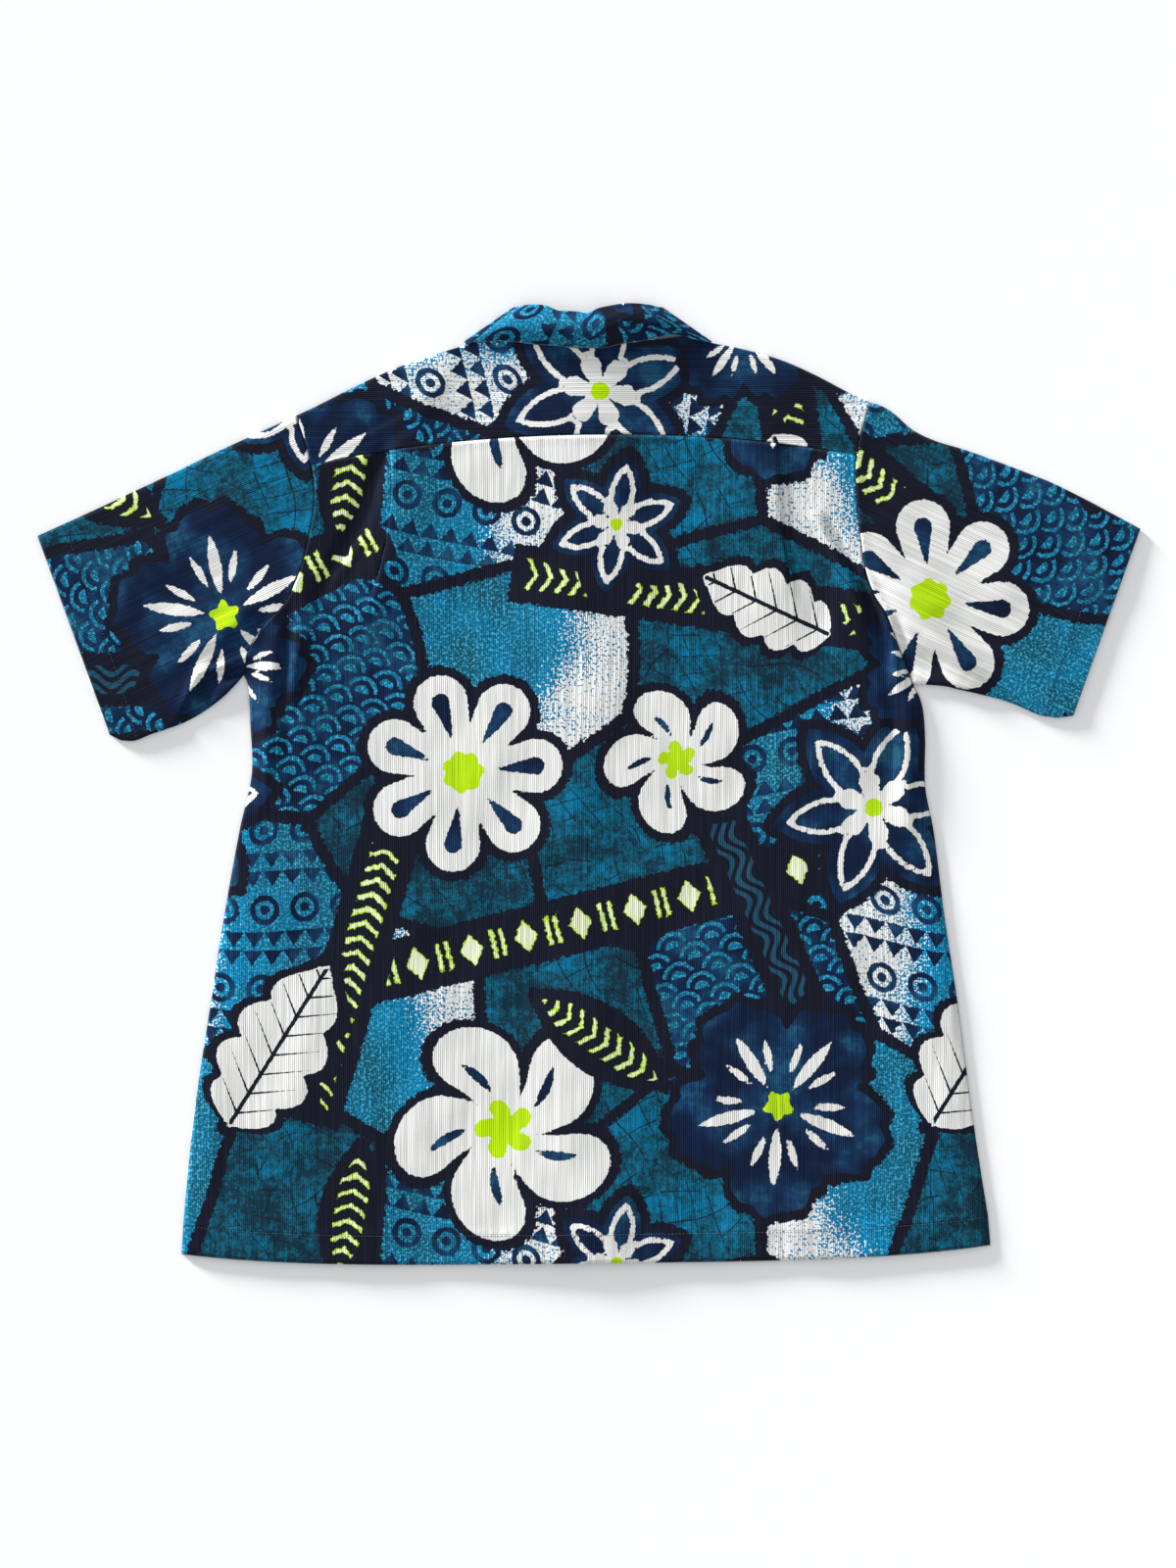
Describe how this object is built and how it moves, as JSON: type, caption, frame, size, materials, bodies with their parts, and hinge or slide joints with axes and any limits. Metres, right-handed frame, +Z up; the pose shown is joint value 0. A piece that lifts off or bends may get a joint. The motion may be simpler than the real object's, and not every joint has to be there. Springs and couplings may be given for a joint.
{
  "type": "hawaiian shirt",
  "caption": "Short-sleeved printed cotton aloha shirt with a camp collar, laid flat on its front with its pleated back up.",
  "frame": {"origin": "middle of the laid-out shirt, on the surface that it lies on", "axes": "+X towards the wearer's right sleeve, which is on the right as the back is looked at, +Y from hem to collar, +Z up from the surface, out of the shirt's back"},
  "size_m": [0.9269, 0.8074, 0.0177],
  "materials": {
    "printed_cloth": "matte ribbed cotton, printed in navy, teal, white and lime green",
    "button": "satin, light brown"
  },
  "bodies": {
    "root": {"back": "printed_cloth", "yoke": "printed_cloth", "front_left": "printed_cloth", "front_right": "printed_cloth", "sleeve_left": "printed_cloth", "sleeve_right": "printed_cloth", "collar": "printed_cloth", "button_1": "button", "button_2": "button", "button_3": "button", "button_4": "button", "button_5": "button", "button_6": "button"}
  },
  "joints": []
}
